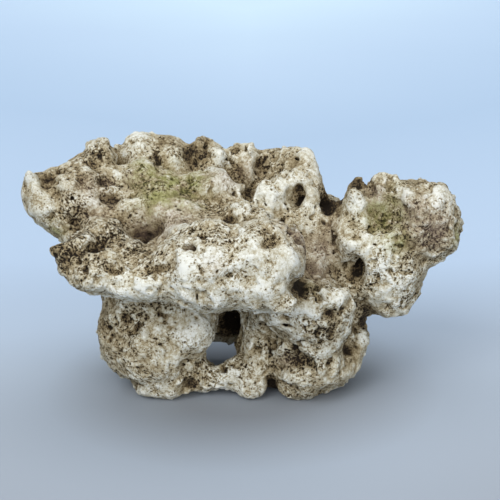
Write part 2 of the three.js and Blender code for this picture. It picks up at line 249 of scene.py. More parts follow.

# --- stains: where each tint of the stone lies, painted shade and light among them, and how far it reaches in millimetres
# the white chalk of the crust; on the legs and the knobs under the shelf it is also painted light
CHALK_AND_LIGHT = [
    # left wing and rim
    Stain(31, 177, 9, 0.8), Stain(36, 189, 7, 0.6), Stain(45, 203, 8, 0.6), Stain(68, 183, 8, 0.4),
    Stain(85, 168, 5, 0.6), Stain(110, 169, 5, 1.0), Stain(119, 176, 5, 1.0), Stain(124, 154, 5, 1.6),
    Stain(136, 135, 10, 1.1), Stain(92, 145, 6, 0.8), Stain(140, 152, 10, 0.5), Stain(175, 162, 13, 0.5),
    Stain(110, 190, 10, 0.5), Stain(90, 201, 7, 0.5), Stain(218, 156, 12, 1.2), Stain(208, 170, 6, 0.7),
    Stain(224, 181, 6, 0.6), Stain(235, 190, 6, 0.5), Stain(248, 152, 8, 0.8), Stain(250, 165, 9, 0.5),
    Stain(238, 208, 9, 1.0),
    # wall
    Stain(308, 153, 6, 1.0), Stain(268, 199, 11, 1.4), Stain(309, 211, 11, 0.9), Stain(282, 205, 8, 0.8),
    Stain(315, 172, 7, 0.8), Stain(280, 180, 14, 0.4),
    # right lobe
    Stain(357, 203, 7, 1.6), Stain(438, 198, 12, 1.2), Stain(388, 181, 6, 0.8), Stain(391, 189, 5, 1.0),
    Stain(405, 193, 6, 1.0), Stain(364, 221, 5, 1.6), Stain(352, 245, 12, 1.0), Stain(374, 246, 14, 1.0),
    Stain(380, 262, 14, 1.0), Stain(362, 250, 12, 0.8), Stain(386, 301, 14, 0.6), Stain(399, 301, 8, 1.2),
    Stain(395, 260, 10, 0.6), Stain(398, 278, 20, 1.1),
    # shelf
    Stain(116, 290, 17, 1.0), Stain(150, 285, 18, 1.0), Stain(129, 266, 8, 0.9), Stain(176, 290, 15, 1.1),
    Stain(170, 240, 9, 1.0), Stain(187, 262, 12, 1.3), Stain(228, 243, 20, 1.1), Stain(248, 262, 20, 1.2),
    Stain(214, 256, 12, 1.2), Stain(262, 291, 15, 1.0), Stain(235, 280, 24, 1.0), Stain(212, 292, 17, 0.9),
    Stain(285, 264, 15, 1.1), Stain(190, 245, 9, 1.3), Stain(181, 249, 4, 1.6), Stain(198, 250, 4, 1.6),
    Stain(255, 240, 10, 1.0), Stain(136, 280, 14, 0.7), Stain(293, 252, 9, 0.9), Stain(272, 278, 14, 0.9),
    Stain(210, 232, 12, 0.7),
    # legs, brightened as painted light where the shelf shades them
    Stain(305, 309, 16, 1.6), Stain(341, 298, 8, 1.0), Stain(325, 290, 9, 1.0), Stain(308, 284, 6, 0.8),
    Stain(346, 325, 8, 0.6), Stain(325, 355, 5, 1.4), Stain(196, 327, 18, 1.3), Stain(205, 315, 9, 1.0),
    Stain(175, 358, 11, 0.9), Stain(224, 381, 18, 1.0), Stain(361, 336, 6, 1.2), Stain(280, 304, 10, 0.6),
    Stain(293, 378, 12, 0.4), Stain(163, 385, 12, 0.4), Stain(258, 390, 10, 0.4),
]
# the brown earth tint, and painted shade: dark in the caves, pockets, crevices and hollows, beside the
# shelf's rim, under the feet, on shaded sides of knobs and over the top
EARTH_AND_SHADE = [
    # left wing and rim
    Stain(48, 181, 9, 1.3), Stain(84, 180, 7, 0.9), Stain(104, 183, 7, 1.1), Stain(110, 199, 9, 1.2),
    Stain(102, 157, 12, 0.8), Stain(110, 148, 8, 0.9), Stain(72, 184, 16, 0.35), Stain(76, 226, 9, 0.7),
    Stain(72, 212, 9, 0.5), Stain(158, 158, 8, 1.0), Stain(171, 143, 12, 1.0), Stain(185, 152, 7, 1.0),
    Stain(198, 152, 12, 2.3), Stain(206, 141, 6, 1.6), Stain(235, 150, 6, 2.0), Stain(240, 172, 7, 1.6),
    Stain(248, 189, 7, 1.8), Stain(264, 165, 13, 0.8), Stain(285, 160, 10, 0.5), Stain(230, 221, 9, 1.1),
    Stain(150, 180, 18, 0.5), Stain(180, 190, 16, 0.5),
    # porous terrace
    Stain(58, 250, 11, 1.8), Stain(85, 240, 20, 0.3), Stain(70, 250, 14, 0.8), Stain(105, 228, 22, 0.2),
    Stain(120, 245, 12, 0.9), Stain(98, 250, 9, 1.1), Stain(146, 241, 9, 2.0), Stain(155, 235, 12, 0.7),
    Stain(66, 263, 13, 1.0), Stain(134, 254, 8, 0.8), Stain(80, 272, 12, 0.6),
    # shelf
    Stain(271, 243, 10, 1.2), Stain(196, 232, 14, 0.5), Stain(155, 268, 14, 0.7), Stain(110, 268, 10, 0.5),
    Stain(198, 294, 6, 1.0),
    # wall
    Stain(302, 200, 6, 2.2), Stain(299, 188, 4, 1.4), Stain(294, 163, 7, 0.9), Stain(331, 205, 12, 2.6),
    Stain(281, 221, 7, 1.0), Stain(305, 250, 8, 1.2), Stain(298, 236, 7, 1.2), Stain(309, 266, 7, 1.4),
    Stain(318, 245, 24, 0.4), Stain(332, 240, 11, 0.8), Stain(335, 268, 7, 1.2),
    # right lobe
    Stain(357, 183, 10, 2.4), Stain(374, 189, 7, 0.9), Stain(402, 186, 26, 0.28), Stain(411, 237, 9, 0.8),
    Stain(435, 235, 17, 0.8), Stain(425, 250, 14, 0.6), Stain(416, 212, 12, 0.6), Stain(357, 274, 8, 2.2),
    Stain(358, 262, 5, 1.8), Stain(378, 312, 12, 0.7), Stain(370, 310, 7, 2.0), Stain(362, 320, 8, 1.8),
    Stain(410, 270, 12, 0.4),
    # legs
    Stain(297, 287, 14, 3.0), Stain(232, 322, 17, 3.0), Stain(236, 340, 8, 2.0), Stain(103, 325, 10, 1.0),
    Stain(130, 327, 11, 0.7), Stain(128, 352, 24, 0.3), Stain(256, 316, 12, 0.8), Stain(275, 364, 9, 0.7),
    Stain(330, 311, 8, 1.2), Stain(303, 363, 12, 0.8), Stain(295, 348, 5, 2.0), Stain(348, 353, 9, 1.2),
    Stain(354, 330, 7, 1.0), Stain(330, 330, 14, 0.3), Stain(316, 287, 4, 2.0), Stain(272, 386, 9, 2.6),
    Stain(190, 386, 8, 1.6), Stain(225, 367, 6, 1.0),
]
ALGAE = [
    Stain(147, 176, 15, 1.0), Stain(168, 184, 20, 1.2), Stain(194, 182, 14, 1.0), Stain(160, 198, 16, 1.1),
    Stain(182, 198, 14, 1.0), Stain(138, 164, 10, 0.7), Stain(388, 217, 18, 1.0), Stain(378, 210, 12, 1.0),
    Stain(396, 239, 10, 0.9), Stain(458, 235, 8, 0.9), Stain(54, 230, 8, 0.7), Stain(312, 283, 8, 0.35),
]
PITTED = [
    Stain(85, 240, 24, 1.0), Stain(110, 235, 22, 1.0), Stain(72, 212, 12, 1.0), Stain(65, 262, 15, 1.0),
    Stain(130, 250, 15, 0.9), Stain(90, 260, 16, 0.8), Stain(185, 235, 16, 0.7), Stain(215, 240, 24, 0.5),
    Stain(250, 250, 16, 0.5), Stain(155, 265, 18, 0.7), Stain(390, 262, 22, 0.7), Stain(370, 285, 16, 0.6),
    Stain(320, 330, 26, 0.7), Stain(300, 365, 18, 0.8), Stain(125, 325, 16, 0.7), Stain(225, 375, 20, 0.6),
    Stain(318, 300, 20, 0.6), Stain(255, 330, 16, 0.5), Stain(196, 330, 18, 0.35), Stain(98, 150, 14, 0.6),
    Stain(112, 180, 10, 0.5), Stain(70, 185, 14, 0.5), Stain(140, 150, 14, 0.5), Stain(402, 292, 16, 0.6),
    Stain(210, 165, 14, 0.4), Stain(263, 165, 12, 0.5), Stain(440, 235, 18, 0.5), Stain(130, 360, 24, 0.4),
]
CALM = [
    Stain(38, 195, 15, 1.0), Stain(95, 200, 12, 0.7), Stain(150, 228, 17, 0.9), Stain(174, 220, 14, 0.7),
    Stain(196, 328, 18, 0.5), Stain(120, 352, 26, 0.7), Stain(150, 370, 20, 0.6), Stain(145, 285, 20, 0.8),
    Stain(232, 285, 26, 0.8), Stain(272, 280, 16, 0.6), Stain(305, 240, 18, 0.8), Stain(318, 265, 12, 0.7),
    Stain(309, 211, 14, 0.6), Stain(345, 240, 14, 0.5), Stain(330, 312, 9, 0.8), Stain(232, 172, 14, 0.7),
    Stain(438, 198, 11, 0.7), Stain(190, 249, 8, 1.0),
]
MAUVE = [
    Stain(226, 176, 12, 0.9), Stain(172, 220, 18, 1.0), Stain(145, 226, 12, 0.8), Stain(303, 238, 15, 1.0),
    Stain(319, 269, 12, 0.9), Stain(376, 194, 9, 1.0), Stain(414, 212, 15, 0.9), Stain(433, 228, 16, 1.0),
    Stain(90, 190, 12, 0.6), Stain(98, 205, 12, 0.6), Stain(320, 250, 13, 0.8), Stain(190, 249, 4, 0.9),
    Stain(214, 265, 8, 0.4), Stain(332, 230, 10, 0.5), Stain(285, 360, 8, 0.4), Stain(128, 178, 8, 0.6),
    Stain(250, 170, 9, 0.5), Stain(420, 235, 12, 0.5), Stain(108, 184, 6, 0.5),
]

# --- roughness that runs over every side ------------------------------
SWELLS = [(1.1, 30.0), (0.9, 17.0)]   # how high the round swells are, and how far apart
CUPS = [(0.8, 11.0), (0.55, 6.5), (0.45, 4.2)]    # hollows between sharp crests
CRUST = [(0.6, 3.0)]
WORM_SPACING = 4.8                    # winding furrows of the porous zones
WORM_WIDTH = 0.30
WORM_DEPTH = 0.8
NODULES = 300
NODULE_RADII = (2.5, 5.0)
PORES = 2600
PORE_RADII = (0.6, 1.3)
PORE_LENGTH = 4.0


# --- finding places on the stone --------------------------------------
def mesh_arrays(mesh):
    """A mesh's corners in millimetres and its triangles."""
    corners = np.empty(len(mesh.vertices) * 3, np.float32)
    mesh.vertices.foreach_get("co", corners)
    mesh.calc_loop_triangles()
    triangles = np.empty(len(mesh.loop_triangles) * 3, np.int32)
    mesh.loop_triangles.foreach_get("vertices", triangles)
    return corners.reshape(-1, 3) / MM, triangles.reshape(-1, 3)


class Sight:
    """Finds what the camera sees of the stone at a pixel of the photograph's frame."""

    RING = [(0, 0), (4, 0), (-4, 0), (0, 4), (0, -4)]
    STEP = 4.0
    SEARCH = 160                      # how far before and behind the aim a near miss is sought

    def __init__(self, stone):
        corners, quads = stone.surface()
        self.tree = BVHTree.FromPolygons(corners.tolist(), quads.tolist())

    def direction(self, px, py):
        across = px - FRAME_SIDE / 2
        above = FRAME_SIDE / 2 - py
        return (FORWARD * FOCAL_PIXELS + RIGHT * across + UP * above).normalized()

    def hit(self, px, py):
        """Where the pixel's ray meets the mesh or passes nearest to it, and the inward normal."""
        aim = self.direction(px, py)
        point, normal, _, _ = self.tree.ray_cast(EYE, aim)
        if point is not None:
            return point, normal
        reaches = np.arange(DISTANCE - self.SEARCH, DISTANCE + self.SEARCH, self.STEP)
        nearest = [self.tree.find_nearest(EYE + aim * float(reach)) for reach in reaches]
        point, normal, _, _ = min(nearest, key=lambda found: found[3])
        return point, normal

    def place(self, px, py):
        """The point at a pixel, with the normal there, which points into the stone."""
        point, _ = self.hit(px, py)
        normal = Vector((0, 0, 0))
        for dx, dy in self.RING:
            normal += self.hit(px + dx, py + dy)[1]
        return point, normal.normalized()

    def on_ray(self, px, py, depth):
        """The point that a pixel shows at some depth from the camera."""
        aim = self.direction(px, py)
        return EYE + aim * (depth / aim.dot(FORWARD))


def seen_axes(normal, turn):
    """Two directions in the surface, turned about the normal, and the normal."""
    along = (RIGHT - normal * RIGHT.dot(normal)).normalized()
    across = normal.cross(along)
    angle = math.radians(turn)
    first = along * math.cos(angle) + across * math.sin(angle)
    second = across * math.cos(angle) - along * math.sin(angle)
    return first, second, normal


def unforeshortened(size, axis):
    """The real length of something that spans a seen size along an axis of the surface."""
    shown = math.hypot(axis.dot(RIGHT), axis.dot(UP))
    return size / max(shown, 0.5)


# --- the sculpting grid -----------------------------------------------
def blurred(field, sigma):
    """A field smoothed by a Gaussian of sigma millimetres along each axis."""
    reach = math.ceil(2.6 * sigma / VOXEL)
    offsets = np.arange(-reach, reach + 1)
    weights = np.exp(-0.5 * (offsets * VOXEL / sigma) ** 2)
    weights = (weights / weights.sum()).astype(np.float32)
    for axis in range(3):
        margin = [(0, 0)] * 3
        margin[axis] = (reach, reach)
        padded = np.pad(field, margin, mode="edge")
        result = np.zeros_like(field)
        for shift, weight in enumerate(weights):
            window = [slice(None)] * 3
            window[axis] = slice(shift, shift + field.shape[axis])
            result += weight * padded[tuple(window)]
        field = result
    return field


def smooth_min(a, b, rounding):
    overlap = np.maximum(rounding - np.abs(a - b), 0) / rounding
    return np.minimum(a, b) - overlap * overlap * rounding / 4


def spline_weights(count, spacing, knots):
    """Cubic B-spline weights of evenly spaced knots at each node of one grid axis."""
    places = np.arange(count) * VOXEL / spacing + 1
    distance = np.abs(places[:, None] - np.arange(knots)[None, :])
    near = 2 / 3 - distance ** 2 + distance ** 3 / 2
    far = (2 - np.minimum(distance, 2)) ** 3 / 6
    return np.where(distance < 1, near, far).astype(np.float32)


class Ellipsoid:
    def __init__(self, centre, axes, radii):
        self.centre = np.array(centre)
        self.axes = np.array(axes)
        self.radii = np.array(radii)
        extent = np.sqrt(((self.axes * self.radii[:, None]) ** 2).sum(0))
        self.low = self.centre - extent
        self.high = self.centre + extent

    def scaled(self, places):
        """The places along the ellipsoid's axes, as parts of its radii."""
        offset = [place - middle for place, middle in zip(places, self.centre)]
        for axis, radius in zip(self.axes, self.radii):
            yield sum(o * a for o, a in zip(offset, axis)) / radius

    def level(self, places):
        """0 at the middle and 1 on the surface."""
        return np.sqrt(sum(part ** 2 for part in self.scaled(places)))

    def distance(self, places):
        parts = list(self.scaled(places))
        level = np.sqrt(sum(part ** 2 for part in parts))
        slope = np.sqrt(sum((part / radius) ** 2 for part, radius in zip(parts, self.radii)))
        return level * (level - 1) / np.maximum(slope, 1e-4)


class Rod:
    """A chain of round rods through points, with a radius at each point."""

    def __init__(self, points, radii):
        self.points = np.array([list(point) for point in points])
        self.radii = radii
        self.low = self.points.min(axis=0) - max(radii)
        self.high = self.points.max(axis=0) + max(radii)

    def nearest(self, places, measure):
        best = np.float32(np.inf)
        for i, start in enumerate(self.points[:-1]):
            span = self.points[i + 1] - start
            offset = [place - first for place, first in zip(places, start)]
            along = sum(o * s for o, s in zip(offset, span)) / max(span @ span, 1e-6)
            along = np.clip(along, 0, 1)
            gap = np.sqrt(sum((o - along * s) ** 2 for o, s in zip(offset, span)))
            thickness = self.radii[i] + (self.radii[i + 1] - self.radii[i]) * along
            best = np.minimum(best, measure(gap, thickness))
        return best

    def level(self, places):
        """0 on the middle line and 1 on the surface."""
        return self.nearest(places, lambda gap, thickness: gap / thickness)

    def distance(self, places):
        return self.nearest(places, lambda gap, thickness: gap - thickness)


class Stone:
    """The stone's distance field on a grid of VOXEL millimetres."""

    def __init__(self, corners, triangles):
        self.transform = vdb.createLinearTransform(voxelSize=VOXEL)
        grid = vdb.FloatGrid.createLevelSetFromPolygons(
            corners.astype(np.float64),
            triangles=triangles.astype(np.uint32),
            transform=self.transform,
            halfWidth=BAND,
        )
        low, high = grid.evalActiveVoxelBoundingBox()
        self.low = np.array(low) - MARGIN
        shape = np.array(high) + MARGIN + 1 - self.low
        self.field = np.empty(shape, np.float32)
        grid.copyToArray(self.field, ijk=tuple(self.low.tolist()))
        self.wander = [
            sum(far * self.waves(often, SEED + 40 + 3 * axis + number)
                for number, (far, often) in enumerate(WANDER))
            for axis in range(3)
        ]

    def axes(self, first=(0, 0, 0), last=None):
        """The places in millimetres of the grid's nodes along x, y and z."""
        last = self.field.shape if last is None else last
        lines = [(np.arange(first[i], last[i]) + self.low[i]) * VOXEL for i in range(3)]
        return np.meshgrid(*lines, indexing="ij", sparse=True)

    def block(self, low, high, field=None):
        """The part of a field between two corners, and the places of its nodes.

        The places wander a little, so that a shape drawn with them has an uneven outline.
        """
        field = self.field if field is None else field
        margin = 2 * sum(far for far, _ in WANDER) + VOXEL
        first = np.floor((low - margin) / VOXEL).astype(int) - self.low
        last = np.ceil((high + margin) / VOXEL).astype(int) - self.low
        first = np.clip(first, 0, self.field.shape)
        last = np.clip(last, first, self.field.shape)
        part = tuple(slice(start, stop) for start, stop in zip(first, last))
        places = [line + wander[part] for line, wander in zip(self.axes(first, last), self.wander)]
        return field[part], places

    def join(self, shape, rounding, carve):
        """Joins a shape to the stone, or carves it out, with a rounded seam."""
        view, places = self.block(shape.low - rounding, shape.high + rounding)
        distance = shape.distance(places)
        if carve:
            view[:] = -smooth_min(-view, distance, rounding)
        else:
            view[:] = smooth_min(view, distance, rounding)

    def swell(self, shape, height):
        """Raises the surface inside a shape into a mound, or sinks it if the height is negative."""
        view, places = self.block(shape.low, shape.high)
        view -= height * np.maximum(1 - shape.level(places) ** 2, 0) ** 2

    def waves(self, spacing, seed):
        """A smooth random field of unit strength whose swells are spacing millimetres apart."""
        counts = self.field.shape
        knots = [math.ceil(count * VOXEL / spacing) + 3 for count in counts]
        field = np.random.default_rng(seed).uniform(-1, 1, knots).astype(np.float32)
        for axis in range(3):
            weights = spline_weights(counts[axis], spacing, knots[axis])
            field = np.moveaxis(np.tensordot(weights, field, axes=(1, axis)), 0, axis)
        field /= field[::5, ::5, ::5].std()
        return field

    def knobbly(self, spacing, seed):
        """A random field of round swells with sharp creases between them, about -0.7 to 0.7."""
        field = np.abs(self.waves(spacing, seed))
        return np.minimum(field, 1.5) - 0.7

    def sampled(self, field, points):
        """A field's values at points in millimetres, between its eight nearest nodes."""
        places = points / VOXEL - self.low
        base = np.clip(np.floor(places).astype(int), 0, np.array(field.shape) - 2)
        part = (places - base).astype(np.float32)
        total = np.zeros(len(points), np.float32)
        for corner in np.ndindex(2, 2, 2):
            weight = np.prod(np.where(corner, part, 1 - part), axis=1)
            x, y, z = (base + corner).T
            total += weight * field[x, y, z]
        return total

    def surface(self):
        """The corners in millimetres and the quads of the surface, wound to face inwards."""
        grid = vdb.FloatGrid()
        grid.background = float(self.field.max())
        grid.transform = self.transform
        grid.copyFromArray(self.field, ijk=tuple(self.low.tolist()), tolerance=0.0)
        corners, _, quads = grid.convertToPolygons(isovalue=0.0, adaptivity=0.0)
        return corners, quads[:, ::-1]

    def normals(self, points):
        """Outward directions at points on the surface."""
        slopes = []
        for axis in range(3):
            step = np.zeros(3)
            step[axis] = VOXEL
            ahead = self.sampled(self.field, points + step)
            behind = self.sampled(self.field, points - step)
            slopes.append(ahead - behind)
        slopes = np.stack(slopes, axis=1)
        return slopes / np.maximum(np.linalg.norm(slopes, axis=1, keepdims=True), 1e-6)


# --- sculpting --------------------------------------------------------
def seen_ellipsoid(sight, feature, spread, deep):
    """An ellipsoid that looks as wide and tall as a feature, lying in the surface."""
    point, normal = sight.place(feature.px, feature.py)
    axes = seen_axes(normal, feature.turn)
    radii = (
        unforeshortened(feature.wide, axes[0]) / 2 * spread,
        unforeshortened(feature.tall, axes[1]) / 2 * spread,
        deep,
    )
    return Ellipsoid(point, axes, radii)


def place_lump(stone, sight, lump):
    reach = max(lump.wide, lump.tall, 2 * lump.proud)
    stone.swell(seen_ellipsoid(sight, lump, MOUND_SPREAD, reach), lump.proud)


def place_dent(stone, sight, dent):
    """A shallow hollow is pressed in softly, and a deep one is carved."""
    if dent.deep < 0.5 * min(dent.wide, dent.tall):
        reach = max(dent.wide, dent.tall)
        stone.swell(seen_ellipsoid(sight, dent, MOUND_SPREAD, reach), -dent.deep)
    else:
        stone.join(seen_ellipsoid(sight, dent, 1.0, dent.deep), DENT_SEAM, carve=True)


def place_cave(stone, sight, cave):
    """A hollow that is driven in along the pixel's own line of sight."""
    found, _ = sight.place(cave.px, cave.py)
    point = sight.on_ray(cave.px, cave.py, (found - EYE).dot(FORWARD))
    aim = sight.direction(cave.px, cave.py)
    across = aim.cross(UP).normalized()
    radii = (cave.wide / 2, cave.tall / 2, cave.deep)
    shape = Ellipsoid(point, (across, across.cross(aim), aim), radii)
    stone.join(shape, CAVE_SEAM, carve=True)


def place_pit(stone, sight, pit, random):
    """A slanting hollow, whose deep axis lies close to the surface."""
    point, normal = sight.place(pit.px, pit.py)
    axes = seen_axes((normal - FORWARD).normalized(), random.uniform(0, 180))
    radii = (
        pit.across / 2 * random.uniform(0.9, 1.3),
        pit.across / 2 * random.uniform(0.6, 0.9),
        pit.deep,
    )
    stone.join(Ellipsoid(point, axes, radii), PIT_SEAM, carve=True)


def line_along(sight, line, radius, sink):
    """A rod along a line, sunk into the stone, or raised where sink is negative."""
    points = []
    for px, py in line.path:
        point, normal = sight.place(px, py)
        points.append(point + normal * sink)
    return Rod(points, [radius] * len(points))


def place_groove(stone, sight, groove):
    """A shallow trough, cut by a rod that a greater depth raises."""
    radius = groove.wide / 2
    stone.join(line_along(sight, groove, radius, radius - groove.deep), GROOVE_SEAM, carve=True)
    if groove.deep > groove.wide:
        stone.join(line_along(sight, groove, radius, 0.0), GROOVE_SEAM, carve=True)


def place_horn(stone, sight, horn):
    """A tapered knob that keeps its base's distance from the camera."""
    base, _ = sight.place(*horn.path[0])
    depth = (base - EYE).dot(FORWARD) + horn.sunk
    points = [sight.on_ray(px, py, depth) for px, py in horn.path]
    radii = np.linspace(horn.base_wide / 2, horn.tip_wide / 2, len(points))
    stone.join(Rod(points, radii), HORN_SEAM, carve=False)


def add_features(stone):
    sight = Sight(stone)
    for horn in HORNS:
        place_horn(stone, sight, horn)
    for lump in LUMPS:
        place_lump(stone, sight, lump)
    for ridge in RIDGES:
        stone.swell(line_along(sight, ridge, ridge.wide / 2 * MOUND_SPREAD, 0.0), ridge.proud)
    for dent in DENTS:
        place_dent(stone, sight, dent)
    for cave in CAVES:
        place_cave(stone, sight, cave)


def add_sharp_features(stone, random):
    sight = Sight(stone)
    for groove in GROOVES:
        place_groove(stone, sight, groove)
    for pit in PITS:
        place_pit(stone, sight, pit, random)


def roughness(stone):
    """How wormy and pitted the stone is, 0 to 1, over the whole grid."""
    sight = Sight(stone)
    rough = np.clip(stone.waves(38.0, SEED + 1) * 0.35 + 0.45, 0, 1)
    for stains, target in ((CALM, 0.0), (PITTED, 1.0)):
        for stain in stains:
            centre = np.array(sight.place(stain.px, stain.py)[0])
            reach = 2 * stain.reach
            view, places = stone.block(centre - reach, centre + reach, rough)
            squares = sum((place - middle) ** 2 for place, middle in zip(places, centre))
            view += (target - view) * stain.strength * np.exp(-squares / stain.reach ** 2)
    return rough


def add_nodules_and_pores(stone, random):
    """Small knobs and pores strewn over every side."""
    corners, _ = stone.surface()
    picks = random.choice(len(corners), NODULES + PORES, replace=False)
    points = corners[picks]
    normals = stone.normals(points)
    for index, (point, normal) in enumerate(zip(points, normals)):
        if index < NODULES:
            radius = random.uniform(*NODULE_RADII)
            axes = seen_axes(Vector(normal), random.uniform(0, 180))
            radii = (radius, radius * random.uniform(0.6, 1.0), radius * 2)
            stone.swell(Ellipsoid(point, axes, radii), radius * random.uniform(0.3, 0.55))
        else:
            radius = random.uniform(*PORE_RADII)
            along = np.cross(normal, random.normal(size=3))
            along *= PORE_LENGTH * random.random() ** 2 / max(np.linalg.norm(along), 0.1)
            end = point + along - normal * radius * 0.7
            stone.join(Rod([point, end], [radius, radius]), PORE_SEAM, carve=True)


def sculpted(corners, triangles):
    """The whole stone, roughened and standing on the floor."""
    stone = Stone(corners, triangles)
    random = np.random.default_rng(SEED)
    stone.field = blurred(stone.field, FACET_BLUR)
    add_features(stone)
    stone.field = blurred(stone.field, SHARD_BLUR)
    for number, (depth, spacing) in enumerate(SWELLS):
        stone.field -= depth * (stone.knobbly(spacing, SEED + 10 + number))
    add_nodules_and_pores(stone, random)
    add_sharp_features(stone, random)
    for number, (depth, spacing) in enumerate(CRUST):
        stone.field -= depth * stone.knobbly(spacing, SEED + 20 + number)
    rough = roughness(stone)
    for number, (depth, spacing) in enumerate(CUPS):
        stone.field += depth * (0.25 + 1.2 * rough) * stone.knobbly(spacing, SEED + 25 + number)
    worms = stone.waves(WORM_SPACING, SEED + 30)
    furrows = np.exp(-((worms / WORM_WIDTH) ** 2))
    stone.field += WORM_DEPTH * rough * furrows
    height = stone.axes()[2]
    stone.field -= FOOT_GROWTH * np.clip(2 - height / FOOT_HEIGHT, 0, 1)
    np.maximum(stone.field, -height, out=stone.field)
    return stone


# --- the mesh and what is painted on it -------------------------------
def largest_part(corners, quads):
    """The biggest connected surface, without loose crumbs and closed bubbles."""
    label = np.arange(len(corners))
    settled = False
    while not settled:
        before = label.copy()
        np.minimum.at(label, quads.ravel(), np.repeat(label[quads].min(axis=1), 4))
        label = label[label]
        settled = np.array_equal(label, before)
    label = label[quads[:, 0]]
    quads = quads[label == np.bincount(label).argmax()]
    used, quads = np.unique(quads, return_inverse=True)
    return corners[used], quads.reshape(-1, 4)


def add_object(name, data):
    thing = bpy.data.objects.new(name, data)
    bpy.context.scene.collection.objects.link(thing)
    return thing


def stone_object(stone):
    corners, quads = largest_part(*stone.surface())
    mesh = bpy.data.meshes.new("reef_rock_stone")
    mesh.from_pydata((corners * MM).tolist(), [], quads.tolist())
    rock = add_object("reef_rock_stone", mesh)
    thinner = rock.modifiers.new("thinner", "DECIMATE")
    thinner.ratio = min(TRIANGLES / (2 * len(quads)), 1.0)
    graph = bpy.context.evaluated_depsgraph_get()
    thinned = bpy.data.meshes.new_from_object(rock.evaluated_get(graph))
    rock.modifiers.clear()
    rock.data = thinned
    bpy.data.meshes.remove(mesh)
    thinned.name = "reef_rock_stone"
    thinned.flip_normals()            # surface() winds its quads to face inwards
    thinned.shade_smooth()
    return rock


def paint(mesh, name, values):
    layer = mesh.attributes.new(name, "FLOAT", "POINT")
    layer.data.foreach_set("value", np.ascontiguousarray(values, np.float32))


def stained(points, sight, stains):
    """How strongly a set of stains, painted shade or painted light tints each point, 0 to 1."""
    total = np.zeros(len(points), np.float32)
    for stain in stains:
        centre = np.array(sight.place(stain.px, stain.py)[0])
        distance = np.linalg.norm(points - centre, axis=1) / stain.reach
        np.maximum(total, stain.strength * np.exp(-(distance ** 2)), out=total)
    return total


# relief: how far the surface stands above or sinks below its blurred self, used for the dirt of hollows and
# for painted shade in hollows and painted light on crests
RELIEF_BLURS = {"fine_relief": 2.0, "broad_relief": 6.0}
# the stone's tints, painted on the mesh: the earth tint also carries painted shade and the chalk tint
# painted light
PAINTED_TINTS_SHADE_AND_LIGHT = {"chalk_and_light": CHALK_AND_LIGHT, "earth_and_shade": EARTH_AND_SHADE, "algae": ALGAE, "mauve": MAUVE, "pitted": PITTED}


def paint_stone(rock, stone):
    sight = Sight(stone)
    points, _ = mesh_arrays(rock.data)
    for name, blur in RELIEF_BLURS.items():
        relief = blurred(stone.field, blur) - stone.field
        paint(rock.data, name, stone.sampled(relief, points))
    for name, stains in PAINTED_TINTS_SHADE_AND_LIGHT.items():
        paint(rock.data, name, stained(points, sight, stains))


# --- materials --------------------------------------------------------
def linear(red, green, blue):
    """A screen colour, 0 to 255 a channel, as linear light with alpha."""
    channels = []
    for value in (red, green, blue):
        part = value / 255
        channels.append(part / 12.92 if part <= 0.04045 else ((part + 0.055) / 1.055) ** 2.4)
    return (*channels, 1.0)


class Nodes:
    """Short calls that add and link the nodes of one material."""

    def __init__(self, name):
        self.material = bpy.data.materials.new(name)
        self.material.use_nodes = True
        self.tree = self.material.node_tree
        self.shader = self.tree.nodes["Principled BSDF"]

    def add(self, kind, **settings):
        node = self.tree.nodes.new(kind)
        for key, value in settings.items():
            setattr(node, key, value)
        return node

    def feed(self, socket, value):
        if isinstance(value, bpy.types.NodeSocket):
            self.tree.links.new(value, socket)
        else:
            socket.default_value = value

    def math(self, operation, first, second=0.0, clamp=False):
        node = self.add("ShaderNodeMath", operation=operation, use_clamp=clamp)
        self.feed(node.inputs[0], first)
        self.feed(node.inputs[1], second)
        return node.outputs[0]

    def span(self, value, low, high, out_low=0.0, out_high=1.0):
        """The value moved from one range to another, and kept inside it."""
        node = self.add("ShaderNodeMapRange")
        names = ("Value", "From Min", "From Max", "To Min", "To Max")
        for name, number in zip(names, (value, low, high, out_low, out_high)):
            self.feed(node.inputs[name], number)
        return node.outputs["Result"]

    def mix(self, factor, first, second, blend="MIX"):
        node = self.add("ShaderNodeMix", data_type="RGBA", blend_type=blend)
        self.feed(node.inputs["Factor"], factor)
        self.feed(node.inputs[6], first)
        self.feed(node.inputs[7], second)
        return node.outputs[2]

    def attribute(self, name):
        return self.add("ShaderNodeAttribute", attribute_name=name).outputs["Fac"]

    def texture(self, kind, place, size):
        node = self.add(kind)
        self.feed(node.inputs["Vector"], place)
        node.inputs["Scale"].default_value = 1 / (size * MM)
        return node

    def noise(self, place, size, detail=2.0, roughness=0.5):
        """Noise whose blots are size millimetres apart, 0 to 1."""
        node = self.texture("ShaderNodeTexNoise", place, size)
        node.inputs["Detail"].default_value = detail
        node.inputs["Roughness"].default_value = roughness
        return node.outputs["Fac"]

    def wobbled(self, place, size, amount):
        """Coordinates shaken by noise, so that what is drawn in them has ragged edges."""
        node = self.texture("ShaderNodeTexNoise", place, size)
        shake = self.add("ShaderNodeVectorMath", operation="MULTIPLY_ADD")
        self.feed(shake.inputs[0], node.outputs["Color"])
        shake.inputs[1].default_value = (amount * MM,) * 3
        self.feed(shake.inputs[2], place)
        return shake.outputs[0]

    def cells(self, place, size):
        """Distance from scattered points that are size millimetres apart."""
        return self.texture("ShaderNodeTexVoronoi", place, size).outputs["Distance"]

    def ramp(self, value, stops):
        node = self.add("ShaderNodeValToRGB")
        self.feed(node.inputs["Fac"], value)
        elements = node.color_ramp.elements
        while len(elements) < len(stops):
            elements.new(1.0)
        for element, (position, colour) in zip(elements, stops):
            element.position = position
            element.color = colour
        return node.outputs["Color"]


